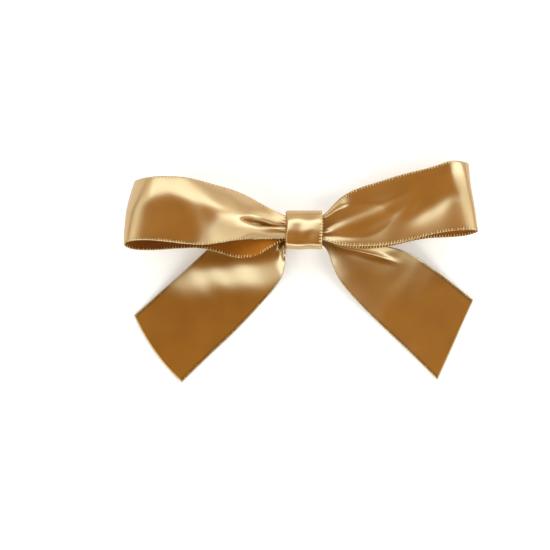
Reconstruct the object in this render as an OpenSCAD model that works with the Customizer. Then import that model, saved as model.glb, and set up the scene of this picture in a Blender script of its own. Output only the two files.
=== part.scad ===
// Pre-made satin ribbon gift bow, lying face up on its adhesive pad.
// Two loops and two tails of one ribbon width are gathered, cinched with thread, and wrapped
// by a centre band that is folded lengthwise, lapped and glued at the back.
// Units are millimetres. +Z points out of the bow's face, +X to its right, +Y towards its top.
// The origin is the centre of the release liner's underside, which lies on the surface.

/* [Ribbon] */
// Width of the loop and tail ribbon
ribbon_w = 25; // [22:0.5:26]
// Thickness of one ply of ribbon
ribbon_t = 0.4; // [0.3:0.05:0.45]

/* [Loops] */
// From the bow's centre to the left loop's outer fold
left_reach = 53.6; // [46:0.2:60]
// From the bow's centre to the right loop's outer fold
right_reach = 52.4; // [46:0.2:60]
// How far the left loop's outer end lies above the knot's centre line
left_rise = 4.6; // [2:0.2:8]
// How far the right loop's outer end lies above the knot's centre line
right_rise = 9.2; // [4:0.2:12]
// Lean of the left loop, whose top edge lies lower than its bottom edge, in degrees
left_lean = 28; // [16:1:30]
// Lean of the right loop, in degrees
right_lean = 25; // [16:1:30]
// Half the gap between the two plies of a loop at its outer fold
fold_r = 3; // [2.6:0.1:3.2]
// How far the front ply puffs out beyond the outer fold
loop_puff = 2.6; // [1:0.1:3]

/* [Tails] */
// From the bow's centre to the middle of a tail's cut end
tail_reach = 58.6; // [50:0.2:66]
// Direction of the left tail's cut end from the bow's centre, below the horizontal, in degrees
left_drop = 39; // [35:0.5:42]
// Direction of the right tail's cut end from the bow's centre, below the horizontal, in degrees
right_drop = 36.5; // [35:0.5:42]
// How far from the knot the left tail opens out to its full width
left_flare = 26; // [20:1:40]
// How far from the knot the right tail opens out to its full width
right_flare = 38; // [20:1:40]
// Slant of the left tail's cut, in degrees
left_slant = 8; // [0:1:12]
// Slant of the right tail's cut, in degrees
right_slant = 21; // [10:1:25]

/* [Centre band] */
// Width of the folded band, across the bow
band_w = 11.4; // [10:0.2:12]
// Height of the band, from its top edge to its bottom edge
band_h = 11.6; // [11.4:0.1:12]
// Front of the band above the surface
band_top = 10.2; // [10:0.1:10.6]

/* [Adhesive pad] */
// Length of the foam pad, across the bow
pad_l = 16; // [12:0.5:18]
// Width of the foam pad
pad_w = 9; // [7:0.5:9.5]
// Thickness of the foam
foam_t = 1; // [0.8:0.1:1.1]
// Length of the liner's finger tab
tab_l = 3.5; // [2:0.5:5]

/* [Hidden] */
$fn = 48;

LEFT = -1;
RIGHT = 1;
satin = [0.71, 0.49, 0.2];
satin_shade = [0.6, 0.4, 0.15];

// The stack under the knot, from the surface upwards.
liner_t = 0.12;
film_t = 0.1;
foam_z = liner_t + film_t;
lap_z = foam_z + foam_t + film_t;
glue_t = 0.2;
tube_z = lap_z + ribbon_t + glue_t;

// The band is a tube of two plies around the gathered ribbons.
band_mid_z = (band_top + tube_z) / 2;
band_half_z = (band_top - tube_z) / 2;
ply_gap = 0.1;
band_wall = 2 * ribbon_t + ply_gap;

// The gathered ribbons inside the band.
gather_half_y = 3.9;
gather_half_x = 6.3;
gather_reach = 8.1;
pleat_count = 3;
front_z = 7.55;
back_z = 5.7;
tail_z = 4.3;

// The thread that cinches them.
thread_r = 0.15;
thread_turns = 4;
thread_pitch = 0.45;
thread_sides = 8;
thread_steps = 28;

// The loops stand clear of the band by this much, so that they can be lifted.
neck_x = 6.8;
neck_half = 4.7;
neck_z = 6.65;
neck_gap = 1.1;
outer_z = 9.4;
loop_flare = 38;
loop_pleat = 0.6;
pleat_run = 20;
fold_skew = 1.5;

// The tails start outside the circle that the band's corners lie on, so that they can swing.
tail_start = 8.6;
tail_neck_half = 3.5;
tail_neck_turn = 11;
tail_bend = 19;
tail_bend_turn = 7;
tail_neck_z = 3.2;
tail_settle = 30;
tail_pleat = 0.4;
tail_crown = 1.3;

function clamp(t) = min(1, max(0, t));
function smooth(t) = let (s = clamp(t)) s * s * (3 - 2 * s);
function fast(t) = let (s = clamp(t)) 1 - (1 - s) * (1 - s);
function mix(a, b, t) = a + (b - a) * t;
function unit(v) = v / norm(v);
function steps(n) = [for (i = [0:n]) i / n];

// A closed solid of thickness t around a grid of points, rows of equal length.
module sheet_solid(grid, t) {
    rows = len(grid);
    cols = len(grid[0]);
    function along(i, j) = grid[min(i + 1, rows - 1)][j] - grid[max(i - 1, 0)][j];
    function across(i, j) = grid[i][min(j + 1, cols - 1)] - grid[i][max(j - 1, 0)];
    function normal(i, j) = unit(cross(along(i, j), across(i, j)));
    function layer(side) =
        [for (i = [0:rows - 1]) for (j = [0:cols - 1]) grid[i][j] + side * t / 2 * normal(i, j)];
    upper = layer(1);
    lower = layer(-1);
    count = rows * cols;
    function at(i, j) = i * cols + j;
    function quad(a, b, c, d) = [[a, b, c], [a, c, d]];
    faces = [
        for (i = [0:rows - 2]) for (j = [0:cols - 2])
            let (a = at(i, j), b = at(i, j + 1), c = at(i + 1, j + 1), d = at(i + 1, j))
            each concat(quad(a, b, c, d), quad(count + a, count + d, count + c, count + b)),
        for (i = [0:rows - 2]) let (a = at(i, 0), b = at(i + 1, 0)) each quad(a, b, count + b, count + a),
        for (i = [0:rows - 2])
            let (a = at(i, cols - 1), b = at(i + 1, cols - 1)) each quad(b, a, count + a, count + b),
        for (j = [0:cols - 2]) let (a = at(0, j), b = at(0, j + 1)) each quad(b, a, count + a, count + b),
        for (j = [0:cols - 2])
            let (a = at(rows - 1, j), b = at(rows - 1, j + 1)) each quad(a, b, count + b, count + a)
    ];
    polyhedron(concat(upper, lower), faces, convexity = 6);
}

// A loop's two plies and outer fold as stations: distance out, height from the loop's middle
// plane, and which ply the station is on (1 front, -1 back, 0 on the fold).
front_rows = 13;
fold_rows = 7;
function ply_height(share) = mix(neck_gap, fold_r, smooth(share));
function puff(share) = loop_puff * pow(sin(180 * share), 2);
function loop_stations(reach) = let (fold_x = reach - fold_r - ribbon_t / 2) [
    for (s = steps(front_rows)) [mix(neck_x, fold_x, s), ply_height(s) + puff(s), 1],
    for (i = [1:fold_rows - 1]) let (a = 90 - i * 180 / fold_rows)
        [fold_x + fold_r * cos(a), fold_r * sin(a), 0],
    for (s = steps(front_rows)) [mix(fold_x, neck_x, s), -ply_height(1 - s), -1]
];

// A point of a loop: q runs from -1 at the bottom edge to 1 at the top edge.
function loop_point(side, reach, rise, lean, station, q) =
    let (
        x = station[0],
        share = (x - neck_x) / (reach - neck_x),
        open = fast((x - neck_x) / loop_flare),
        half = mix(neck_half, ribbon_w / 2, open),
        turn = lean * smooth((x - neck_x) / loop_flare),
        pleat = loop_pleat * (1 - smooth((x - neck_x) / pleat_run)) * cos(180 * pleat_count * q),
        h = station[1] + station[2] * pleat,
        mid_y = rise * sin(90 * clamp(share)),
        mid_z = mix(neck_z, outer_z, smooth((x - neck_x) / loop_flare))
    )
    [
        side * (x - fold_skew * q * smooth(share)),
        mid_y + half * q * cos(turn) + h * sin(turn),
        mid_z - half * q * sin(turn) + h * cos(turn)
    ];

module ribbon_loop(side, reach, rise, lean) {
    stations = loop_stations(reach);
    grid = [for (at = stations) [for (s = steps(18)) loop_point(side, reach, rise, lean, at, 2 * s - 1)]];
    color(satin) sheet_solid(grid, ribbon_t);
}

// A tail's centre line is a curve that leaves the knot and straightens towards its cut end.
function ray(side, angle, r) = [side * r * cos(angle), -r * sin(angle)];
function tail_centre(side, drop, s) =
    let (
        a = ray(side, drop - tail_neck_turn, tail_start),
        b = ray(side, drop - tail_bend_turn, tail_bend),
        c = ray(side, drop, tail_reach)
    )
    (1 - s) * (1 - s) * a + 2 * s * (1 - s) * b + s * s * c;
function tail_direction(side, drop, s) =
    unit(tail_centre(side, drop, s + 0.01) - tail_centre(side, drop, s - 0.01));

// A point of a tail: s runs from the knot to the cut, q from -1 at the inner edge to 1 at the outer.
function tail_point(side, drop, flare, slant, s, q) =
    let (
        dir = tail_direction(side, drop, s),
        normal = side * [-dir[1], dir[0]],
        run = s * (tail_reach - tail_start),
        open = fast(run / flare),
        half = mix(tail_neck_half, ribbon_w / 2, open),
        pleat = tail_pleat * (1 - open) * cos(180 * pleat_count * q),
        skew = -tan(slant) * half * q * smooth(s),
        flat = tail_centre(side, drop, s) + normal * half * q + dir * skew,
        lift = mix(tail_neck_z, ribbon_t / 2, smooth(run / tail_settle)) + tail_crown * open * (1 - q * q)
    )
    [flat[0], flat[1], lift + pleat];

module ribbon_tail(side, drop, flare, slant) {
    grid = [for (s = steps(16)) [for (p = steps(12)) tail_point(side, drop, flare, slant, s, 2 * p - 1)]];
    color(satin) sheet_solid(grid, ribbon_t);
}

// A strip of gathered ribbon, waved across the bow's height and straight along X.
module gathered_strip(mid_z, wave, half_x) {
    samples = steps(36);
    function wave_z(s) = mid_z + wave * cos(360 * pleat_count * s);
    function edge(side) =
        [for (s = samples) [mix(-gather_half_y, gather_half_y, s), wave_z(s) + side * ribbon_t / 2]];
    function backwards(list) = [for (i = [len(list) - 1:-1:0]) list[i]];
    rotate([90, 0, 90])
        linear_extrude(2 * half_x, center = true)
            polygon(concat(edge(-1), backwards(edge(1))));
}

module loop_gather() {
    color(satin_shade) {
        gathered_strip(front_z, 0.6, gather_half_x);
        gathered_strip(back_z, 0.45, gather_half_x);
    }
}

module tail_gather() {
    color(satin_shade)
        intersection() {
            gathered_strip(tail_z, 0.3, gather_reach);
            cylinder(h = band_top, r = gather_reach);
        }
}

// The thread is a coil of a rounded rectangle, wound closely at the bow's centre.
function bent(v) = sign(v) * pow(abs(v), 1 / 3);
function thread_centre(turn) =
    let (a = 360 * turn, half_y = gather_half_y + 0.55, half_z = band_half_z - band_wall - thread_r - 0.05)
    [(turn - thread_turns / 2) * thread_pitch, half_y * bent(cos(a)), band_mid_z + half_z * bent(sin(a))];

module gathering_thread() {
    rings = thread_turns * thread_steps;
    function centre(i) = thread_centre(i / thread_steps);
    function forward(i) = unit(centre(min(i + 1, rings)) - centre(max(i - 1, 0)));
    function ring(i) =
        let (f = forward(i), u = unit(cross(f, [1, 0, 0])), w = cross(f, u))
        [for (k = [0:thread_sides - 1]) let (a = 360 * k / thread_sides)
            centre(i) + thread_r * (u * cos(a) + w * sin(a))];
    points = [for (i = [0:rings]) each ring(i)];
    function at(i, k) = i * thread_sides + k % thread_sides;
    walls = [for (i = [0:rings - 1]) for (k = [0:thread_sides - 1])
        each [[at(i, k), at(i, k + 1), at(i + 1, k + 1)], [at(i, k), at(i + 1, k + 1), at(i + 1, k)]]];
    first = [for (k = [thread_sides - 1:-1:0]) at(0, k)];
    last = [for (k = [0:thread_sides - 1]) at(rings, k)];
    color("tan") polyhedron(points, concat([first], walls, [last]), convexity = 8);
}

// The band's outline in the YZ plane, drawn inset by a distance and extruded along X.
module band_block(inset, from_x, to_x) {
    r = 3 - inset;
    y = band_h / 2 - inset;
    z = band_half_z - inset;
    translate([from_x, 0, band_mid_z])
        rotate([90, 0, 90])
            linear_extrude(to_x - from_x)
                union() {
                    square([2 * y, 2 * (z - r)], center = true);
                    square([2 * (y - r), 2 * z], center = true);
                    for (sy = [-1, 1]) for (sz = [-1, 1])
                        translate([sy * (y - r), sz * (z - r)]) circle(r);
                }
}

// The ribbon is folded lengthwise: its fold is the band's left edge, and its two plies are
// open at the right edge. One end laps over the other at the back.
module centre_band() {
    half = band_w / 2;
    color(satin) {
        difference() {
            band_block(0, -half, half);
            band_block(band_wall, -half - 1, half + 1);
            difference() {
                band_block(ribbon_t, -half + ribbon_t, half + 1);
                band_block(ribbon_t + ply_gap, -half, half + 2);
            }
        }
    }
    lap_y = 3.4;
    color(satin) {
        translate([-half + 0.3, -lap_y, lap_z]) cube([band_w - 0.6, 2 * lap_y, ribbon_t]);
        translate([-half + 0.3, -lap_y, lap_z]) cube([band_w - 0.6, ribbon_t, glue_t + ribbon_t + 0.1]);
    }
}

module band_glue() {
    color("wheat")
        translate([-3.6, -1.2, lap_z + ribbon_t]) cube([7.2, 3.6, glue_t]);
}

module pad_layer(z, t, extra = 0) {
    r = 1;
    translate([0, 0, z])
        linear_extrude(t)
            union() {
                translate([-pad_l / 2 + r, -pad_w / 2]) square([pad_l - 2 * r + extra, pad_w]);
                translate([-pad_l / 2, -pad_w / 2 + r]) square([pad_l + extra, pad_w - 2 * r]);
                for (x = [-pad_l / 2 + r, pad_l / 2 - r + extra]) for (y = [-1, 1])
                    translate([x, y * (pad_w / 2 - r)]) circle(r);
            }
}

module pad_adhesive_inner() {
    color("ivory") pad_layer(foam_z + foam_t, film_t);
}

module pad_foam() {
    color("white") pad_layer(foam_z, foam_t);
}

module pad_adhesive_outer() {
    color("ivory") pad_layer(liner_t, film_t);
}

module release_liner() {
    color("khaki") pad_layer(0, liner_t, tab_l);
}

ribbon_loop(LEFT, left_reach, left_rise, left_lean);  // loop_left
ribbon_loop(RIGHT, right_reach, right_rise, right_lean);  // loop_right
loop_gather();
ribbon_tail(LEFT, left_drop, left_flare, left_slant);  // tail_left
ribbon_tail(RIGHT, right_drop, right_flare, right_slant);  // tail_right
tail_gather();
gathering_thread();
centre_band();
band_glue();
pad_adhesive_inner();
pad_foam();
pad_adhesive_outer();
release_liner();
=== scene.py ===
"""A satin gift bow: the looks of its ribbons, stitches, knot and adhesive pad, around the CAD frame.

Lengths in this file are millimetres until a mesh is made, and then metres.
"""

import math

import bpy
import numpy as np
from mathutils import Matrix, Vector


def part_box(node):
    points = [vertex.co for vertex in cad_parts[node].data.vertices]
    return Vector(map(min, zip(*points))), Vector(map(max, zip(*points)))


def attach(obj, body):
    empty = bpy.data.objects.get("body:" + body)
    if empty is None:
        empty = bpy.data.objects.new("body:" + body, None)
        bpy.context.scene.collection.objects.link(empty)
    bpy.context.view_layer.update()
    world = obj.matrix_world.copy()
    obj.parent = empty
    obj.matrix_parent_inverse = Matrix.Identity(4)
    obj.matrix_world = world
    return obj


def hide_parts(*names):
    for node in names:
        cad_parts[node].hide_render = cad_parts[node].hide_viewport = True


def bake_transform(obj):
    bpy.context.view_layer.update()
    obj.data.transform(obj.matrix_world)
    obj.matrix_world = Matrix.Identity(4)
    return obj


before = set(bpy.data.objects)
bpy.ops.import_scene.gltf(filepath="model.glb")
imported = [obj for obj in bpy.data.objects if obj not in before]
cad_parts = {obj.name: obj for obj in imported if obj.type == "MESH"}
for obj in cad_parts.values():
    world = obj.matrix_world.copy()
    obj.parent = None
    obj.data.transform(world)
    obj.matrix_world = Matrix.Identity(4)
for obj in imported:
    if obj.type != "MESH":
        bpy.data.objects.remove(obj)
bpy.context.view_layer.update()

MM = 0.001
RIBBON_WIDTH = 25.0
RIBBON_THICK = 0.3
BAND_THICK = 0.25
CLOTH_CELL = 0.5
BAND_CELL = 0.4

# How the cloth settles: how stiff it is in bending, how much it resists being gathered, how strongly it
# keeps to its planned shape, how much more its edges do in x, y and z, and how much of each end is held in
# the knot.
BENDING = 0.15
GATHERING = 0.005
PLAN_PULL = 0.03
EDGE_PULL = (0.03, 0.05, 0.02)
HELD_LENGTH = 5.0
# The size of the cells, as a multiple of CLOTH_CELL, and the number of rounds that they settle for.
SETTLING = ((2, 500), (1, 250))
# The rows and columns between two points that are joined, and how stiff the joining threads are.
THREADS_AND_DIAGONALS = ((1, 0, 1.0), (0, 1, 1.0), (1, 1, 0.3), (1, -1, 0.3))


# ---------------------------------------------------------------- small helpers

def smooth(t):
    """Rises smoothly from 0 to 1 as t does."""
    t = np.clip(t, 0.0, 1.0)
    return t * t * (3 - 2 * t)


def unit(v):
    """The same directions with a length of 1."""
    return v / np.maximum(np.linalg.norm(v, axis=-1, keepdims=True), 1e-9)


def spline(knots, values, at):
    """A natural cubic spline through values at knots, read at the places in at."""
    knots, values = np.asarray(knots, float), np.asarray(values, float)
    n, h = len(knots), np.diff(knots)
    rows, right = np.eye(n), np.zeros((n,) + values.shape[1:])
    slope = np.diff(values, axis=0) / h.reshape((-1,) + (1,) * (values.ndim - 1))
    for i in range(1, n - 1):
        rows[i, i - 1:i + 2] = h[i - 1], 2 * (h[i - 1] + h[i]), h[i]
        right[i] = 6 * (slope[i] - slope[i - 1])
    bend = np.linalg.solve(rows, right.reshape(n, -1)).reshape(right.shape)
    i = np.clip(np.searchsorted(knots, at) - 1, 0, n - 2)
    shape = (-1,) + (1,) * (values.ndim - 1)
    a, b, hi = (knots[i + 1] - at).reshape(shape), (at - knots[i]).reshape(shape), h[i].reshape(shape)
    return (
        (bend[i] * a ** 3 + bend[i + 1] * b ** 3) / (6 * hi)
        + (values[i] / hi - bend[i] * hi / 6) * a
        + (values[i + 1] / hi - bend[i + 1] * hi / 6) * b
    )


def lengths(points):
    """How far along a row of points each of them lies."""
    return np.concatenate([[0.0], np.cumsum(np.linalg.norm(np.diff(points, axis=0), axis=1))])


def read_row(points, far, at):
    """The places at along a row of points, where far says how far along each point lies."""
    return np.stack([np.interp(at, far, points[:, k]) for k in range(3)], axis=1)


# ---------------------------------------------------------------- cloth

def pairs(rows, cols, di, dj):
    """The pairs of a grid's points that lie di rows and dj columns apart, in groups that share no point."""
    index = np.arange(rows * cols).reshape(rows, cols)
    i, j = np.meshgrid(np.arange(rows - di), np.arange(cols - abs(dj)), indexing="ij")
    if dj < 0:
        j = j - dj
    first, second = index[i, j].ravel(), index[i + di, j + dj].ravel()
    turn = ((i // di) if di else (j // dj)).ravel() % 2
    return [(first[turn == k], second[turn == k]) for k in (0, 1)]


def off_average(p):
    """How far the average of each inner point's four neighbours lies from the point itself."""
    around = p[:-2, 1:-1] + p[2:, 1:-1] + p[1:-1, :-2] + p[1:-1, 2:]
    return around / 4 - p[1:-1, 1:-1]


def thin_plate(p, amount, free):
    """Takes sharp bends out of a grid, as a stiff cloth does, and leaves its size alone."""
    padded = np.pad(p, ((2, 2), (2, 2), (0, 0)), mode="reflect", reflect_type="odd")
    return p - amount * off_average(off_average(padded)) * free[..., None]


def cloth_links(along, across, free):
    """The pairs of points that a grid's threads and diagonals join: their two points, how far apart these
    are in the flat ribbon, and how much each of them gives way. along and across are the lengths of the
    flat ribbon's cells, and free is 1 at the points that can move."""
    rows, cols = free.shape
    row_of, free = np.repeat(np.arange(rows), cols), free.ravel()
    links = []
    for di, dj, stiffness in THREADS_AND_DIAGONALS:
        for a, b in pairs(rows, cols, di, dj):
            wide = dj * (across[row_of[a]] + across[row_of[b]]) / 2
            flat = np.hypot(di * along, wide)
            total = np.maximum(free[a] + free[b], 1e-9)
            links.append((a, b, flat, stiffness / total, free[a][:, None], free[b][:, None]))
    return links


def settle(grid, links, free, target, pull, looped, rounds):
    """Settles a grid of cloth so that its threads keep their length, while target and pull draw it to its
    planned shape."""
    rows, cols = grid.shape[:2]
    p, goal, pull = grid.reshape(-1, 3).copy(), target.reshape(-1, 3), pull.reshape(-1, 3)
    loose = free.ravel()[:, None]
    for _ in range(rounds):
        p += (goal - p) * pull * loose
        for a, b, flat, weight, free_a, free_b in links:
            d = p[b] - p[a]
            size = np.sqrt(np.einsum("ij,ij->i", d, d)) + 1e-9
            error = size - flat
            error = np.where(error < 0, GATHERING * error, error)
            move = d * (weight * error / size)[:, None]
            p[a] += move * free_a
            p[b] -= move * free_b
        p = thin_plate(p.reshape(rows, cols, 3), BENDING, free)
        p = kept_clear(p, looped).reshape(-1, 3)
    return p.reshape(rows, cols, 3)


def resample(grid, rows, cols):
    """The same surface with another number of rows and columns."""
    def along(g, n):
        return spline(np.linspace(0, 1, len(g)), g, np.linspace(0, 1, n))

    return np.swapaxes(along(np.swapaxes(along(grid, rows), 0, 1), cols), 0, 1)


class Ribbon:
    """A length of ribbon between two rails, its edges, each a row of given points.

    The first rail is the edge where q is 1, the second where q is -1. crown lists how far the middle
    stands out from the line between the rails, and how much of that lies towards the first rail. folds
    are functions that give how far the cloth stands out at u, the distance along the ribbon, and at q,
    the place across it, where the ribbon is half wide to each side. looped ribbons end in the knot at
    both ends. bow is how far the middle of the last row runs on. lie, when there is one, gives the
    height of the ribbon's open part at each x and y."""

    def __init__(self, top, bottom, crown, folds, looped=False, bow=0.0, lie=None):
        self.top, self.bottom = np.array(top, float), np.array(bottom, float)
        self.crown, self.folds = np.array(crown, float), folds
        self.looped, self.bow, self.lie = looped, bow, lie
        self.at = (lengths(self.top) + lengths(self.bottom)) / 2
        self.length = self.at[-1]

    def from_knot(self, u):
        """How far the places u along the ribbon are from the knot."""
        return np.minimum(u, self.length - u) if self.looped else u

    def surface(self, rows, cols):
        """The planned shape as a grid of points."""
        u, q = np.linspace(0, self.length, rows), np.linspace(-1, 1, cols)
        top, bottom = spline(self.at, self.top, u), spline(self.at, self.bottom, u)
        middle, half = (top + bottom) / 2, (top - bottom) / 2
        ahead = np.gradient(middle, axis=0)
        out = unit(np.cross(half, ahead))
        crown = spline(self.at, self.crown, u)
        wide = np.linalg.norm(half, axis=1)[:, None]
        relief = sum(fold(u[:, None], q, wide) for fold in self.folds + [undulation])
        height = crown[:, :1] * (1 - q ** 2) * (1 + crown[:, 1:] * q) + relief
        grid = middle[:, None] + half[:, None] * q[:, None] + out[:, None] * height[..., None]
        run_on = self.bow * smooth((u - self.length + 12) / 12)[:, None] * (1 - q ** 2)
        grid = grid + unit(ahead)[:, None] * run_on[..., None]
        if self.lie:
            open_part = smooth((u - 8) / 9)[:, None]
            grid[..., 2] += open_part * (self.lie(grid[..., 0], grid[..., 1]) + relief - grid[..., 2])
        return grid


def lasts(u, start, end, fade):
    """1 between start and end along the ribbon, and fading to 0 before and after them."""
    return smooth((u - start + fade) / fade) * (1 - smooth((u - end) / fade))


def pleat(depth, width, line, start, end, fade=6.0):
    """A trough (below 0) or ridge (above 0) along the ribbon. line gives its place across the ribbon as
    (u, q) points, and width is a share of half the ribbon's width."""
    us, qs = zip(*line)

    def height(u, q, half):
        lasting = lasts(u, start, end, fade)
        narrowed = width * (0.4 + 0.6 * lasting)
        return depth * np.exp(-((q - np.interp(u, us, qs)) / narrowed) ** 2) * lasting

    return height


def tuck(slope, reach, line, start, end, fade=6.0, wall=0.5):
    """A fold that stands up steeply along line, within wall millimetres, and slopes away from there
    towards the first rail, for reach millimetres at most."""
    us, qs = zip(*line)

    def height(u, q, half):
        there = np.interp(u, us, qs)
        run = np.minimum(reach, (1 - there) * half)
        away = (q - there) * half
        rise = slope * np.clip(run - away, 0, run) * smooth(away / wall + 0.5)
        return rise * lasts(u, start, end, fade)

    return height


def shoulder(height, line, start, end, fade=8.0, soft=0.2):
    """Raises the ribbon to a rounded corner along line, straight up to it from either rail."""
    us, qs = zip(*line)

    def rise(u, q, half):
        there = np.interp(u, us, qs)
        first, second = (1 - q) / (1 - there), (1 + q) / (1 + there)
        return -height * soft * np.logaddexp(-first / soft, -second / soft) * lasts(u, start, end, fade)

    return rise


def gathers(count, depth, end, fade=6.0, far_end=None):
    """Small folds side by side where the ribbon is drawn in at the knot, fading out at end. A ribbon that
    comes back to the knot has them again where it gets there, at far_end."""
    def height(u, q, half):
        u = np.minimum(u, far_end - u) if far_end else u
        uneven = q + 0.06 * np.sin(3 * q)
        return depth * np.cos(math.pi * count * uneven) * (1 - smooth((u - end) / fade))

    return height


def undulation(u, q, half):
    """The slight waviness of a ribbon that has been handled."""
    slow = np.sin(0.23 * u + 1.7 * q) * np.cos(1.9 * q - 0.13 * u)
    quick = np.sin(0.61 * u - 2.6 * q + 1.4 * np.sin(0.17 * u)) * np.sin(0.13 * u + 2.2 * q)
    return 0.22 * slow + 0.07 * quick


def kept_clear(p, looped, least_gap=0.35):
    """Keeps the cloth off the floor, and a loop's two plies apart. The plies are paired by how far they
    are from the knot."""
    if looped:
        half = len(p) // 2
        front, back = p[:half], p[::-1][:half]
        short = np.clip(least_gap - (front - back)[..., 2], 0, None) / 2
        front[..., 2] += short
        back[..., 2] -= short
    lowest = 0.35 if looped else 0.25
    p[..., 2] = np.maximum(p[..., 2], lowest)
    return p


def flat_widths(plan, target, from_knot):
    """How wide the cloth wants to be at each row: as planned at the knot, and its full width away from it."""
    planned = np.linalg.norm(np.diff(target, axis=1), axis=2).sum(axis=1)
    full = RIBBON_WIDTH if plan.looped else planned[-1]
    start, fade = 10, 22 if plan.looped else 20
    opening = smooth((from_knot - start) / fade)
    return planned * (1 - opening) + full * opening


def settled(plan):
    """A ribbon's cloth, settled first in large cells and then in small ones."""
    cols = int(RIBBON_WIDTH / CLOTH_CELL) + 1
    rows = int(round(plan.length / CLOTH_CELL)) + 1
    grid = None
    for step, rounds in SETTLING:
        n_rows, n_cols = (rows - 1) // step + 1, (cols - 1) // step + 1
        target = plan.surface(n_rows, n_cols)
        grid = target if grid is None else resample(grid, n_rows, n_cols)
        from_knot = plan.from_knot(np.linspace(0, plan.length, n_rows))
        free = np.repeat(np.where(from_knot <= HELD_LENGTH, 0.0, 1.0)[:, None], n_cols, axis=1)
        edge = np.abs(np.linspace(-1, 1, n_cols)) ** 4
        pull = np.broadcast_to(PLAN_PULL + edge[:, None] * EDGE_PULL, target.shape)
        across = flat_widths(plan, target, from_knot) / (n_cols - 1)
        links = cloth_links(plan.length / (n_rows - 1), across, free)
        grid = settle(grid, links, free, target, pull, plan.looped, rounds)
    return grid


# ---------------------------------------------------------------- meshes

def mesh_piece(name, points, faces, uv=None):
    """A mesh object from points in millimetres. uv holds one pair for each point, in millimetres."""
    mesh = bpy.data.meshes.new(name)
    mesh.from_pydata((np.asarray(points) * MM).tolist(), [], faces)
    if uv is not None:
        layer = mesh.uv_layers.new(name="thread")
        corner = np.zeros(len(mesh.loops), np.int32)
        mesh.loops.foreach_get("vertex_index", corner)
        layer.data.foreach_set("uv", uv[corner].astype(np.float32).ravel())
    mesh.polygons.foreach_set("use_smooth", [True] * len(mesh.polygons))
    mesh.update()
    piece = bpy.data.objects.new(name, mesh)
    bpy.context.scene.collection.objects.link(piece)
    return piece


def grid_faces(rows, cols):
    """The four-sided faces of a grid of points."""
    i, j = np.meshgrid(np.arange(rows - 1), np.arange(cols - 1), indexing="ij")
    a = (i * cols + j).ravel()
    return np.stack([a, a + 1, a + cols + 1, a + cols], axis=1).tolist()


def ribbon_piece(name, grid, thick=RIBBON_THICK, cell=CLOTH_CELL):
    """A ribbon of real thickness around a grid of points, with its flat millimetres as UVs. Its outward
    side is shiny and the other one is matt."""
    rows, cols = grid.shape[:2]
    along, across = np.arange(rows) * cell, np.arange(cols) * cell
    uv = np.stack([np.tile(across, rows), np.repeat(along, cols)], axis=1)
    piece = mesh_piece(name, grid.reshape(-1, 3), grid_faces(rows, cols), uv)
    solid = piece.modifiers.new("thickness", "SOLIDIFY")
    solid.thickness = thick * MM
    solid.offset = 0
    solid.material_offset = 1
    piece.data.materials.append(satin)
    piece.data.materials.append(satin_back)
    return piece


def capsule(rings=6, sides=8):
    """Points and faces of a round bead of length, width and height 1."""
    points, faces = [(-0.5, 0, 0)], []
    for i in range(1, rings):
        a = math.pi * i / rings
        for k in range(sides):
            b = 2 * math.pi * k / sides
            wide = math.sin(a) ** 0.6
            points.append((-0.5 * math.cos(a), 0.5 * wide * math.cos(b), 0.5 * wide * math.sin(b)))
    points.append((0.5, 0, 0))
    last = len(points) - 1
    for k in range(sides):
        n = (k + 1) % sides
        faces.append((0, 1 + n, 1 + k))
        for i in range(rings - 2):
            a, b = 1 + i * sides, 1 + (i + 1) * sides
            faces.append((a + k, a + n, b + n, b + k))
        a = 1 + (rings - 2) * sides
        faces.append((last, a + k, a + n))
    return np.array(points), faces


def selvage_piece(name, grid, pitch=0.9, size=(1.05, 0.56, 0.4), inset=0.4):
    """Stitches along both edges of a ribbon's grid, one bead every pitch, with its middle inset from the
    edge. size is how far a bead reaches inwards, along the edge and up."""
    bead, bead_faces = capsule()
    points, faces = [], []
    rng = np.random.default_rng(7)
    for edge, inner in ((grid[:, 0], grid[:, 1]), (grid[:, -1], grid[:, -2])):
        far = lengths(edge)
        at = np.arange(pitch / 2, far[-1], pitch)
        at = at + rng.uniform(-0.08, 0.08, len(at))
        place, inside = read_row(edge, far, at), read_row(inner, far, at)
        ahead = read_row(edge, far, at + 0.4)
        along, inward = unit(ahead - place + 1e-6), unit(inside - place)
        up = unit(np.cross(along, inward))
        along = np.cross(inward, up)
        scale = rng.uniform(0.88, 1.1, (len(at), 1))
        for k in range(len(at)):
            local = bead * np.array(size) * scale[k]
            centre = place[k] + inward[k] * inset
            start = len(points) * len(bead)
            turned = local[:, :1] * inward[k] + local[:, 1:2] * along[k] + local[:, 2:] * up[k]
            points.append(centre + turned)
            faces += [[start + corner for corner in face] for face in bead_faces]
    piece = mesh_piece(name, np.concatenate(points), faces)
    piece.data.materials.append(stitch)
    return piece


# ---------------------------------------------------------------- materials

def new_material(name):
    material = bpy.data.materials.new(name)
    material.use_nodes = True
    nodes, links = material.node_tree.nodes, material.node_tree.links
    return material, nodes, links, nodes["Principled BSDF"]


def noise_texture(nodes, links, place, scale, detail):
    noise = nodes.new("ShaderNodeTexNoise")
    noise.inputs["Scale"].default_value = scale
    noise.inputs["Detail"].default_value = detail
    links.new(place, noise.inputs["Vector"])
    return noise.outputs["Fac"]


def two_colours(nodes, links, factor, dark, light, ends):
    """A colour that goes from dark to light as factor goes from the first of ends to the second."""
    ramp = nodes.new("ShaderNodeValToRGB")
    for stop, colour, at in zip(ramp.color_ramp.elements, (dark, light), ends):
        stop.color = (*colour, 1)
        stop.position = at
    links.new(factor, ramp.inputs["Fac"])
    return ramp.outputs["Color"]


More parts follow.
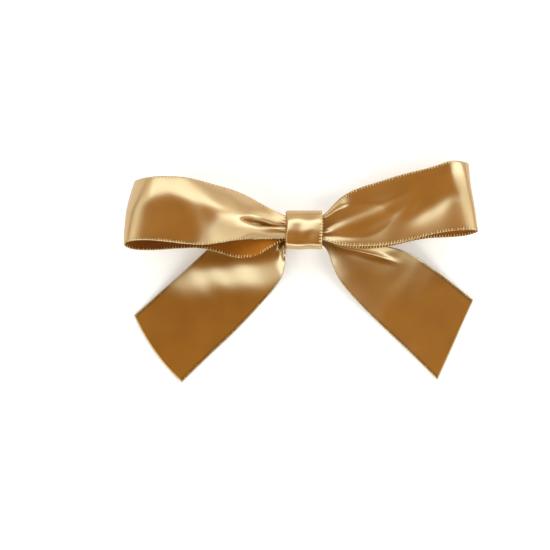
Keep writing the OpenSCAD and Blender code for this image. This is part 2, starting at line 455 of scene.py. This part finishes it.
def add_bump(nodes, links, shader, height, strength, distance):
    """Roughens a shader's surface. distance is in millimetres."""
    bump = nodes.new("ShaderNodeBump")
    bump.inputs["Strength"].default_value = strength
    bump.inputs["Distance"].default_value = distance * MM
    links.new(height, bump.inputs["Height"])
    links.new(bump.outputs["Normal"], shader.inputs["Normal"])


def do_math(nodes, links, operation, first, *rest):
    """A sum on shader values. Numbers are set on the sockets, and outputs of other nodes are linked."""
    result = nodes.new("ShaderNodeMath")
    result.operation = operation
    for socket, value in zip(result.inputs, (first, *rest)):
        if isinstance(value, (int, float)):
            socket.default_value = value
        else:
            links.new(value, socket)
    return result


def map_range(nodes, links, value, **ends):
    """A value stretched between ends, such as From_Min and To_Max."""
    result = nodes.new("ShaderNodeMapRange")
    for end, number in ends.items():
        result.inputs[end.replace("_", " ")].default_value = number
    links.new(value, result.inputs["Value"])
    return result.outputs["Result"]


def darkened_edges(nodes, links, across, colour, edge_colour):
    """A ribbon's colour, with the darker woven binding along its edges."""
    half, whole_binding, binding = RIBBON_WIDTH / 2, 0.6, 1.3
    off_centre = do_math(nodes, links, "SUBTRACT", across, half)
    distance = do_math(nodes, links, "ABSOLUTE", off_centre.outputs["Value"])
    near_edge = map_range(nodes, links, distance.outputs["Value"],
                          From_Min=half - binding, From_Max=half - whole_binding)
    bind = nodes.new("ShaderNodeMix")
    bind.data_type = "RGBA"
    bind.inputs["B"].default_value = (*edge_colour, 1)
    links.new(near_edge, bind.inputs["Factor"])
    links.new(colour, bind.inputs["A"])
    return bind.outputs["Result"]


def satin_material(name, dark, light, roughness, **sockets):
    """Satin whose fine threads run along the ribbon, which is the second direction of its UV map."""
    material, nodes, links, shader = new_material(name)
    uv = nodes.new("ShaderNodeUVMap")
    uv.uv_map = "thread"
    flat = uv.outputs["UV"]
    tangent = nodes.new("ShaderNodeTangent")
    tangent.direction_type = "UV_MAP"
    tangent.uv_map = "thread"
    links.new(tangent.outputs["Tangent"], shader.inputs["Tangent"])

    stretch = nodes.new("ShaderNodeMapping")
    stretch.inputs["Scale"].default_value = (4.5, 0.09, 1.0)
    links.new(flat, stretch.inputs["Vector"])
    threads = noise_texture(nodes, links, stretch.outputs["Vector"], 1.0, 4.0)
    cloudy = noise_texture(nodes, links, flat, 0.12, 2.0)
    weak_threads = do_math(nodes, links, "MULTIPLY_ADD", threads, 0.24, -0.12)
    shade = do_math(nodes, links, "ADD", weak_threads.outputs["Value"], cloudy)
    shade.use_clamp = True
    colour = two_colours(nodes, links, shade.outputs["Value"], dark, light, (0.3, 0.7))
    place = nodes.new("ShaderNodeSeparateXYZ")
    links.new(flat, place.inputs["Vector"])
    edged = darkened_edges(nodes, links, place.outputs["X"], colour, [0.62 * c for c in dark])
    links.new(edged, shader.inputs["Base Color"])

    rough = map_range(nodes, links, threads, To_Min=roughness[0], To_Max=roughness[1])
    links.new(rough, shader.inputs["Roughness"])
    add_bump(nodes, links, shader, threads, 0.06, 0.04)
    set_sockets(shader, sockets)
    return material


def set_sockets(shader, sockets):
    """Sets a shader's sockets by their names, with _ for each space."""
    for socket, value in sockets.items():
        shader.inputs[socket.replace("_", " ")].default_value = value


def plain_material(name, dark, light, scale, roughness, bump, ends=(0.35, 0.65), detail=4.0, **sockets):
    """A material whose colour and surface vary with a fine noise. bump is its strength and its height."""
    material, nodes, links, shader = new_material(name)
    coords = nodes.new("ShaderNodeTexCoord")
    noise = noise_texture(nodes, links, coords.outputs["Object"], scale, detail)
    colour = two_colours(nodes, links, noise, dark, light, ends)
    links.new(colour, shader.inputs["Base Color"])
    add_bump(nodes, links, shader, noise, *bump)
    shader.inputs["Roughness"].default_value = roughness
    set_sockets(shader, sockets)
    return material


def thread_material(name, colour, roughness):
    return plain_material(name, [0.75 * c for c in colour], colour, 4000.0, roughness, (0.3, 0.05),
                          ends=(0, 1), detail=2.0, Specular_IOR_Level=0.25)


satin = satin_material("satin", (0.285, 0.094, 0.002), (0.34, 0.118, 0.004), (0.275, 0.3), IOR=2.1,
                       Specular_IOR_Level=0.95, Specular_Tint=(1.0, 1.0, 0.65, 1), Anisotropic=0.6,
                       Coat_Weight=0.25, Coat_IOR=2.1, Coat_Roughness=0.22)
satin_back = satin_material("satin_back", (0.32, 0.1, 0.004), (0.37, 0.125, 0.006), (0.6, 0.7),
                            Specular_IOR_Level=0.15)
# The stitches are the ribbon's own gold thread. Their paler cream colour is partly painted highlight,
# standing for light that catches the beads.
stitch = thread_material("selvage_stitch_painted_highlight", (0.8, 0.54, 0.23), 0.4)


# ---------------------------------------------------------------- loops

LEFT_LOOP = Ribbon(
    top=[
        (0, 3.2, 6.2), (-6.2, 4.5, 6.5), (-16.9, 10.0, 8.0), (-26, 13.2, 11.2), (-34.8, 15.4, 14.0),
        (-43, 16.0, 15.0), (-49.4, 15.5, 12.8), (-52.4, 14.6, 7.4), (-50.4, 14.0, 1.5), (-40, 15.0, 1.1),
        (-24, 11.8, 4.0), (-12, 6.6, 6.0), (-6.2, 4.0, 5.6), (0, 3.0, 5.2),
    ],
    bottom=[
        (0, -2.6, 7.4), (-6.2, -2.7, 7.8), (-15, -2.7, 10.2), (-24, -3.9, 14.6), (-32, -4.9, 17.8),
        (-41.5, -4.0, 18.6), (-51.4, -3.6, 16.8), (-54.8, -4.7, 13.9), (-53.0, -6.0, 11.4),
        (-40, -6.0, 11.8), (-27, -6.8, 10.4), (-15, -8.2, 9.0), (-6.2, -3.4, 6.2), (0, -2.8, 5.2),
    ],
    crown=[
        (0.5, 0), (0.6, 0), (1.4, 0.2), (1.4, 0.3), (0.7, 0.3), (0.4, 0.3), (0.4, 0.3), (0.4, 0), (1.2, 0),
        (2.2, 0), (1.5, 0), (0.6, 0), (0.2, 0), (0.1, 0),
    ],
    folds=[
        shoulder(1.9, [(18, -0.2), (35, 0.2), (43, 0.38), (49, 0.25), (56, -0.1)], 30, 52, 16),
        pleat(-4.2, 0.08, [(6, 0.05), (10, -0.15), (16, -0.25), (23, -0.22), (30, -0.2)], 14, 16, 7),
        pleat(-0.8, 0.07, [(0, 0.1), (6, 0.05), (10, -0.15)], 5, 9, 3),
        pleat(0.5, 0.3, [(0, -0.45), (24, -0.6)], 6, 18, 8),
        pleat(-1.6, 0.12, [(0, -1.0), (30, -1.0)], 4, 16, 8),
        gathers(7, 0.3, 3, 4, far_end=113.0),
    ],
    looped=True,
)

RIGHT_LOOP = Ribbon(
    top=[
        (0, 3.2, 6.2), (6.2, 4.7, 6.5), (9.6, 8.2, 7.2), (13.5, 11.3, 7.9), (21, 14.2, 9.0),
        (31.4, 17.3, 10.4), (41, 19.8, 11.2), (47.6, 21.1, 10.0), (51.2, 20.4, 6.2), (49.2, 19.6, 2.6),
        (40, 18.8, 1.2), (24, 14.2, 3.0), (12, 7.8, 4.8), (6.2, 4.0, 5.1), (0, 3.0, 5.2),
    ],
    bottom=[
        (0, -2.6, 7.4), (6.2, -3.4, 7.8), (9.4, -4.3, 8.2), (13.6, -4.9, 8.8), (21, -5.0, 9.9),
        (30, -3.9, 11.4), (40, -1.4, 12.8), (51.0, -0.2, 13.4), (53.5, -0.6, 11.6), (51.2, -1.6, 9.4),
        (40, -2.6, 8.6), (27, -4.9, 8.0), (14, -5.4, 6.8), (6.2, -3.2, 5.6), (0, -2.8, 5.2),
    ],
    crown=[
        (0.5, 0), (0.5, 0.3), (0.6, 0.4), (0.8, 0.5), (1.0, 0.6), (1.1, 0.7), (1.1, 0.7), (0.9, 0.6),
        (0.4, 0), (1.4, 0), (3.4, 0), (3.4, 0), (2.2, 0), (0.6, 0), (0.2, 0),
    ],
    folds=[
        tuck(0.6, 3.0, [(5, 0.8), (7.3, 0.75), (10.5, 0.69), (14.5, 0.54), (20, 0.5)], 7, 11, 6),
        pleat(0.55, 0.22, [(6, -0.1), (14, 0.05), (28, 0.35), (40, 0.5)], 8, 22, 14),
        pleat(0.45, 0.22, [(6, -0.7), (16, -0.55), (26, -0.2), (36, 0.1)], 8, 22, 14),
        pleat(0.85, 0.4, [(34, -0.35), (48, 0.05)], 41, 42, 10),
        gathers(7, 0.3, 3, 4, far_end=112.0),
    ],
    looped=True,
)


# ---------------------------------------------------------------- tails

def left_tail_lie(x, y):
    """Holds the ribbon up near the knot, brings it down from about 9 mm below it, then lets it lie flat.
    It is held up less towards its left edge."""
    flat, fall = 0.5, 15.5
    crest = -9.0 + 0.1 * (x + 20)
    down = np.clip((crest - y) / fall, 0, 1)
    high = 4.4 - 2.2 * smooth((-x - 26) / 18)
    return flat + high * (1 - smooth(1 - (1 - down) ** 1.5))


LEFT_TAIL = Ribbon(
    top=[
        (0, 2.6, 3.8), (-6, 1.2, 3.9), (-14, 0.6, 4.5), (-24, -1.6, 4.9), (-31.2, -7.2, 4.9),
        (-42, -16.8, 1.0), (-53, -26.6, 0.5),
    ],
    bottom=[
        (0, -2.8, 3.7), (-4.9, -4.6, 3.9), (-5.8, -11.0, 5.6), (-10.6, -20, 1.4), (-19, -29.2, 0.5),
        (-28, -37.8, 0.4), (-38.1, -47.6, 0.5),
    ],
    crown=[(0.3, 0), (0.3, 0), (0.5, 0), (0.4, 0), (0.2, 0), (0.2, 0), (0.3, 0)],
    folds=[
        pleat(0.8, 0.14, [(0, -0.6), (20, -0.7)], 6, 9, 6),
        pleat(-1.2, 0.12, [(0, -0.3), (20, -0.35)], 6, 8, 6),
        gathers(7, 0.3, 3, 5),
    ],
    bow=1.8,
    lie=left_tail_lie,
)

RIGHT_TAIL = Ribbon(
    top=[
        (0, 2.6, 4.0), (6, 0.4, 4.4), (14, -2.6, 5.6), (27.9, -5.6, 4.6), (33, -7.4, 3.4), (41, -12.4, 1.2),
        (53, -21.8, 0.9),
    ],
    bottom=[
        (0, -2.8, 3.8), (5.6, -4.6, 4.0), (8.5, -9.4, 3.8), (12.5, -17.6, 2.2), (18.6, -24.4, 1.0),
        (28, -33.4, 0.5), (42, -47.1, 0.5),
    ],
    crown=[(0.3, 0), (0.5, 0), (1.2, 0), (1.0, 0), (0.7, 0), (0.7, 0), (0.4, 0)],
    folds=[
        pleat(1.1, 0.13, [(4, -0.4), (10, -0.2), (14, 0.1), (18, 0.32), (24.6, 0.46), (33, 0.62)],
              7, 20, 14),
        gathers(7, 0.3, 3, 5),
    ],
)


def ribbon_and_selvage(body, plan, bend, stands_for, bead):
    """Makes a ribbon and its stitches. bend is two points where the ribbon leaves the knot. Only the x of the
    second is read, to tell the right side from the left. bead is the size of a stitch."""
    grid = settled(plan)
    bend_start, bend_end = bend
    if bend_end[0] > 0:
        # On the right the columns run the other way, so that the shiny side faces outwards.
        grid = grid[:, ::-1]
    ribbon = ribbon_piece(body + "_ribbon", grid)
    selvage = selvage_piece(body + "_selvage", grid, size=bead)
    for piece in (ribbon, selvage):
        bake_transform(piece)
    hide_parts(*stands_for)


LOOP_BEAD = (1.0, 0.46, 0.44)
TAIL_BEAD = (0.85, 0.4, 0.34)
LOOP_BEND = ((6, 0, 6), (14, 0, 6))
TAIL_BEND = ((5, -3, 3), (11, -9, 3))


def on_the_left(bend):
    return [(-x, y, z) for x, y, z in bend]


ribbon_and_selvage("loop_left", LEFT_LOOP, on_the_left(LOOP_BEND), ["loop_left", "loop_gather"], LOOP_BEAD)
ribbon_and_selvage("loop_right", RIGHT_LOOP, LOOP_BEND, ["loop_right"], LOOP_BEAD)
ribbon_and_selvage("tail_left", LEFT_TAIL, on_the_left(TAIL_BEND), ["tail_left", "tail_gather"], TAIL_BEAD)
ribbon_and_selvage("tail_right", RIGHT_TAIL, TAIL_BEND, ["tail_right"], TAIL_BEAD)


# ---------------------------------------------------------------- centre band

def node_box(name):
    """The lowest and highest corners of a CAD node, in millimetres."""
    return [np.array(corner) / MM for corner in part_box(name)]


def band_line():
    """The line of the band's cloth round the knot, as (y, z) points from its inner end to its outer end."""
    low, high = node_box("centre_band")
    wide, bottom, top = high[1], low[2], high[2]
    lap_z, tube_z = bottom + 0.2, bottom + 0.85
    return np.array([
        (3.4, tube_z), (0, tube_z), (-3.4, tube_z + 0.1), (1.0 - wide, tube_z + 1.2), (0.2 - wide, 5.0),
        (0.2 - wide, 8.4), (-5.1, top - 0.8), (-4.6, top - 0.4), (-2.8, top - 0.3), (-1.0, top - 0.55),
        (1.0, top - 1.2), (2.8, top - 2.0), (3.9, top - 2.8), (wide - 0.3, top - 4.3), (wide - 0.05, 5.2),
        (wide - 0.5, 2.6), (3.6, lap_z + 0.1), (0, lap_z), (-3.4, lap_z),
    ])


def folded_lengthwise(v):
    """Where the places v across the band's flat ribbon come to lie once it is folded in two: their x, and
    how deep they are under the outer layer."""
    reach = node_box("centre_band")[1][0] - 0.1
    turn, shorter, under = 0.3, 0.4, 0.5
    before, after = RIBBON_WIDTH / 2 - turn, RIBBON_WIDTH / 2 + turn
    angle = math.pi * np.clip((v - before) / (2 * turn), 0, 1)
    outer = reach - v * (2 * reach - shorter) / before
    inner = shorter - reach + (v - after) * (2 * reach - 0.7) / before
    x = np.where(v < RIBBON_WIDTH / 2, outer, inner)
    x = np.where((v > before) & (v < after), shorter - reach - turn * np.sin(angle), x)
    deep = np.where(v < before, 0.0, np.where(v > after, under, under / 2 * (1 - np.cos(angle))))
    return x, deep, reach


def band_grid(path):
    """The band's ribbon, folded lengthwise, wrapped round the knot and lapped at the back. Its rows go
    round the knot, and its columns go from the open right edge to the fold and back underneath."""
    inside = (0, 5.8)
    around = lengths(path)[-1]
    rows, cols = int(around / BAND_CELL) + 1, int(RIBBON_WIDTH / BAND_CELL) + 1
    line = spline(lengths(path), path, np.linspace(0, around, rows))
    ahead = unit(np.gradient(line, axis=0))
    out = np.stack([ahead[:, 1], -ahead[:, 0]], axis=1)
    out = out * np.sign((out * (line - inside)).sum())
    v = np.linspace(0, RIBBON_WIDTH, cols)
    x, deep, reach = folded_lengthwise(v)
    on_face = smooth((line[:, 1] - 5) / 4)[:, None] * (v < RIBBON_WIDTH / 2)
    puff = 0.2 * (1 - (x / reach) ** 2) + 0.12 * np.sin(0.9 * x - 0.4 * line[:, :1])
    crease = 0.06 * np.sin(0.8 * x + 0.5 * line[:, :1] + 0.6)
    offset = 0.05 + (puff + crease) * on_face - deep
    grid = np.empty((rows, cols, 3))
    grid[..., 0] = x + 0.18 * np.sin(0.55 * line[:, :1] + 0.4)
    grid[..., 1] = line[:, :1] + out[:, :1] * offset
    grid[..., 2] = line[:, 1:] + out[:, 1:] * offset
    return grid


def centre_band(path):
    grid = band_grid(path)[:, ::-1]
    band = ribbon_piece("centre_band_ribbon", grid, thick=BAND_THICK, cell=BAND_CELL)
    selvage = selvage_piece("centre_band_selvage", grid, pitch=0.97, size=(1.0, 0.6, 0.5), inset=0.35)
    for piece in (band, selvage):
        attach(piece, "root")
    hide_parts("centre_band")


band_path = band_line()
centre_band(band_path)


# ---------------------------------------------------------------- thread, glue and pad

def frames(points):
    """Two directions square to a row of points and to each other, at each point."""
    ahead = unit(np.gradient(points, axis=0))
    side = unit(np.cross(ahead, [1.0, 0.05, 0.02]))
    return side, np.cross(side, ahead)


def tube(points, radius, sides):
    """Points and faces of a round strand along a row of points."""
    side, up = frames(points)
    a = np.linspace(0, 2 * math.pi, sides, endpoint=False)
    ring = radius * (np.cos(a)[:, None, None] * side + np.sin(a)[:, None, None] * up)
    shell = (points + ring).transpose(1, 0, 2).reshape(-1, 3)
    return shell, sleeve_faces(len(points), sides)


def sleeve_faces(rings, sides):
    """The faces of a closed sleeve, from ring to ring, and its two ends."""
    faces = [
        [i * sides + k, i * sides + (k + 1) % sides, (i + 1) * sides + (k + 1) % sides, (i + 1) * sides + k]
        for i in range(rings - 1) for k in range(sides)
    ]
    return faces + [list(range(sides))[::-1], [(rings - 1) * sides + k for k in range(sides)]]


def winding(path):
    """The thread's line, wound round the gathers in the shape of a rounded box, clear of the band."""
    low, high = node_box("gathering_thread")
    turns, pitch, clear = 4, 0.45, 1.25
    half_y, half_z = high[1] - 0.2, (high[2] - low[2]) / 2 - 0.2
    turn = np.linspace(0, turns, 900)
    y = half_y * np.cbrt(np.cos(2 * math.pi * turn))
    z = (high[2] + low[2]) / 2 + half_z * np.cbrt(np.sin(2 * math.pi * turn))
    face = path[6:14]
    z = np.minimum(z, np.interp(y, face[:, 0], face[:, 1] - clear))
    line = np.stack([(turn - turns / 2) * pitch, y, z], axis=1)
    far = lengths(line)
    at = np.linspace(0, far[-1], 1500)
    return read_row(line, far, at), at


def gathering_thread(path):
    """Two strands twisted together and wound four times round the gathers, inside the band."""
    strand, sides, twist_length = 0.085, 6, 0.7
    line, at = winding(path)
    side, up = frames(line)
    twist = 2 * math.pi * at / twist_length
    shells, faces = [], []
    for number, phase in enumerate((0, math.pi)):
        around = np.cos(twist + phase)[:, None] * side + np.sin(twist + phase)[:, None] * up
        shell, its_faces = tube(line + strand * 0.8 * around, strand, sides)
        shells.append(shell)
        faces += [[number * len(shell) + corner for corner in face] for face in its_faces]
    piece = mesh_piece("gathering_thread_strands", np.concatenate(shells), faces)
    piece.data.materials.append(thread_material("thread", (0.62, 0.45, 0.24), 0.6))
    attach(piece, "root")
    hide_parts("gathering_thread")


def outline(low, high, radius, count=20):
    """A rounded rectangle's outline as points (x, y)."""
    left, bottom, right, top = low[0] + radius, low[1] + radius, high[0] - radius, high[1] - radius
    points = []
    for x, y, start in ((right, top, 0), (left, top, 90), (left, bottom, 180), (right, bottom, 270)):
        for k in range(count + 1):
            a = math.radians(start + 90 * k / count)
            points.append((x + radius * math.cos(a), y + radius * math.sin(a)))
    return np.array(points)


def glue_dot():
    """A pressed dot of hot glue between the band's lapped ends."""
    low, high = node_box("band_glue")
    rows, cols = 16, 32
    middle, half = (low + high) / 2, (high - low) / 2
    points, faces = [middle + [0, 0, half[2]]], []
    for i in range(1, rows):
        a = math.pi * i / rows
        for k in range(cols):
            b = 2 * math.pi * k / cols
            wobble = 1 + 0.05 * math.sin(3 * b + 1) + 0.04 * math.sin(5 * b)
            round_it = math.sin(a) ** 0.5 * wobble * 0.92
            points.append(middle + half * [round_it * math.cos(b), round_it * math.sin(b), math.cos(a)])
    points.append(middle - [0, 0, half[2]])
    for k in range(cols):
        n = (k + 1) % cols
        faces.append([0, 1 + k, 1 + n])
        for i in range(rows - 2):
            a, b = 1 + i * cols, 1 + (i + 1) * cols
            faces.append([a + k, b + k, b + n, a + n])
        a = 1 + (rows - 2) * cols
        faces.append([len(points) - 1, a + n, a + k])
    piece = mesh_piece("band_glue_dot", np.array(points), faces)
    piece.data.materials.append(plain_material(
        "hot_glue", (0.72, 0.62, 0.42), (0.85, 0.78, 0.6), 900, 0.3, (0.4, 0.05),
        Transmission_Weight=0.35, IOR=1.48))
    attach(piece, "root")
    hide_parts("band_glue")


def foam_pad(layers=8, bulge=0.004, roughness=0.045):
    """The die-cut foam, whose cut sides bulge a little and are rough with cells. Each layer of its sides is
    a rough outline."""
    low, high = node_box("pad_foam")
    ring, centre = outline(low, high, 1.0), (low + high)[:2] / 2
    rng = np.random.default_rng(3)
    levels = []
    for k in range(layers + 1):
        share, at_face = k / layers, k in (0, layers)
        out = 1 + bulge * math.sin(math.pi * share) - bulge * at_face
        shaken = ring + rng.normal(0, roughness, ring.shape) * (not at_face)
        level = np.full((len(ring), 1), low[2] + (high[2] - low[2]) * share)
        levels.append(np.hstack([centre + (shaken - centre) * out, level]))
    piece = mesh_piece("foam_pad", np.concatenate(levels), sleeve_faces(layers + 1, len(ring)))
    piece.data.materials.append(
        plain_material("foam", (0.78, 0.77, 0.74), (0.9, 0.89, 0.86), 2600, 0.85, (0.4, 0.12)))
    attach(piece, "root")
    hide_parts("pad_foam")


def release_liner():
    """Siliconed paper with a finger tab that curls up a little past the pad."""
    low, high = node_box("release_liner")
    pad_end = node_box("pad_foam")[1][0]
    rows, cols, radius = 90, 40, 1.0
    x = np.linspace(low[0], high[0], rows)
    from_end = np.minimum(x - low[0], high[0] - x)
    inset = radius - np.sqrt(np.clip(radius ** 2 - (radius - np.minimum(from_end, radius)) ** 2, 0, None))
    y = np.linspace(-1, 1, cols)
    curl = 0.55 * smooth((x - pad_end) / (high[0] - pad_end)) ** 1.5
    grid = np.empty((rows, cols, 3))
    grid[..., 0] = x[:, None]
    grid[..., 1] = (low[1] + high[1]) / 2 + (high[1] - low[1]) / 2 * y * (1 - inset / high[1])[:, None]
    grid[..., 2] = (low[2] + high[2]) / 2 + curl[:, None] * (1 - 0.15 * y ** 2)
    piece = mesh_piece("release_liner_paper", grid.reshape(-1, 3), grid_faces(rows, cols))
    solid = piece.modifiers.new("thickness", "SOLIDIFY")
    solid.thickness, solid.offset = (high[2] - low[2]) * MM * 0.95, 0
    piece.data.materials.append(plain_material(
        "liner_paper", (0.78, 0.66, 0.4), (0.84, 0.73, 0.48), 350, 0.38, (0.4, 0.01),
        Coat_Weight=0.3, Coat_Roughness=0.25))
    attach(piece, "liner")
    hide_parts("release_liner")


gathering_thread(band_path)
glue_dot()
foam_pad()
release_liner()
adhesive = plain_material(
    "adhesive", (0.82, 0.8, 0.7), (0.9, 0.88, 0.8), 500, 0.15, (0.4, 0.02), Coat_Weight=0.6)
for node in ("pad_adhesive_inner", "pad_adhesive_outer"):
    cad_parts[node].data.materials.clear()
    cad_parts[node].data.materials.append(adhesive)


# ---------------------------------------------------------------- studio

def area_light(name, place, size, power):
    """A softbox that points at the bow. Its place and size are in metres."""
    light = bpy.data.lights.new(name, "AREA")
    light.shape = "RECTANGLE"
    light.size, light.size_y = size
    light.energy = power
    lamp = bpy.data.objects.new(name, light)
    bpy.context.scene.collection.objects.link(lamp)
    lamp.location = place
    lamp.rotation_euler = (-Vector(place)).to_track_quat("-Z", "Y").to_euler()


def white_floor():
    edge = 2000
    corners = [(-edge, -edge, 0), (edge, -edge, 0), (edge, edge, 0), (-edge, edge, 0)]
    floor = mesh_piece("floor", corners, [(0, 1, 2, 3)])
    material, _, _, shader = new_material("floor")
    set_sockets(shader, {
        "Base Color": (0.82, 0.82, 0.82, 1), "Roughness": 0.9, "Specular IOR Level": 0.1,
        "Emission Color": (1.0, 1.0, 1.0, 1), "Emission Strength": 0.28,
    })
    floor.data.materials.append(material)


def light_tent():
    """A pale tent all round, brightest halfway up its walls and dark overhead, behind the camera."""
    world = bpy.data.worlds.new("studio")
    bpy.context.scene.world = world
    world.use_nodes = True
    nodes, links = world.node_tree.nodes, world.node_tree.links
    coords = nodes.new("ShaderNodeTexCoord")
    split = nodes.new("ShaderNodeSeparateXYZ")
    ramp = nodes.new("ShaderNodeValToRGB")
    for height, bright in ((0.0, 0.1), (0.22, 0.5), (0.36, 0.92), (0.58, 0.94), (0.82, 0.004)):
        stop = ramp.color_ramp.elements.new(height)
        stop.color = (bright, 0.98 * bright, 0.85 * bright, 1)
    ramp.color_ramp.elements.remove(ramp.color_ramp.elements[0])
    ramp.color_ramp.elements.remove(ramp.color_ramp.elements[-1])
    links.new(coords.outputs["Generated"], split.inputs["Vector"])
    links.new(split.outputs["Z"], ramp.inputs["Fac"])
    links.new(ramp.outputs["Color"], nodes["Background"].inputs["Color"])
    nodes["Background"].inputs["Strength"].default_value = 1.85


def add_camera():
    """The photo's view, straight down on the bow. At the bow's middle height it takes in view_width."""
    view_width, middle_height = 0.16975, 0.008
    camera = bpy.data.cameras.new("camera")
    camera.lens = 120
    camera.sensor_width = 36
    camera.clip_start = 0.01
    view = bpy.data.objects.new("camera", camera)
    bpy.context.scene.collection.objects.link(view)
    view.location = (-0.00895, -0.01404, middle_height + view_width * camera.lens / camera.sensor_width)
    bpy.context.scene.camera = view
    bpy.context.scene.view_settings.view_transform = "Standard"


white_floor()
light_tent()
area_light("softbox_top", (0.0, 0.5, 0.38), (0.9, 0.3), 1.9)
area_light("softbox_right", (0.5, 0.04, 0.4), (0.25, 0.5), 1.2)
area_light("softbox_left", (-0.3, -0.46, 0.38), (0.8, 0.3), 1.7)
add_camera()
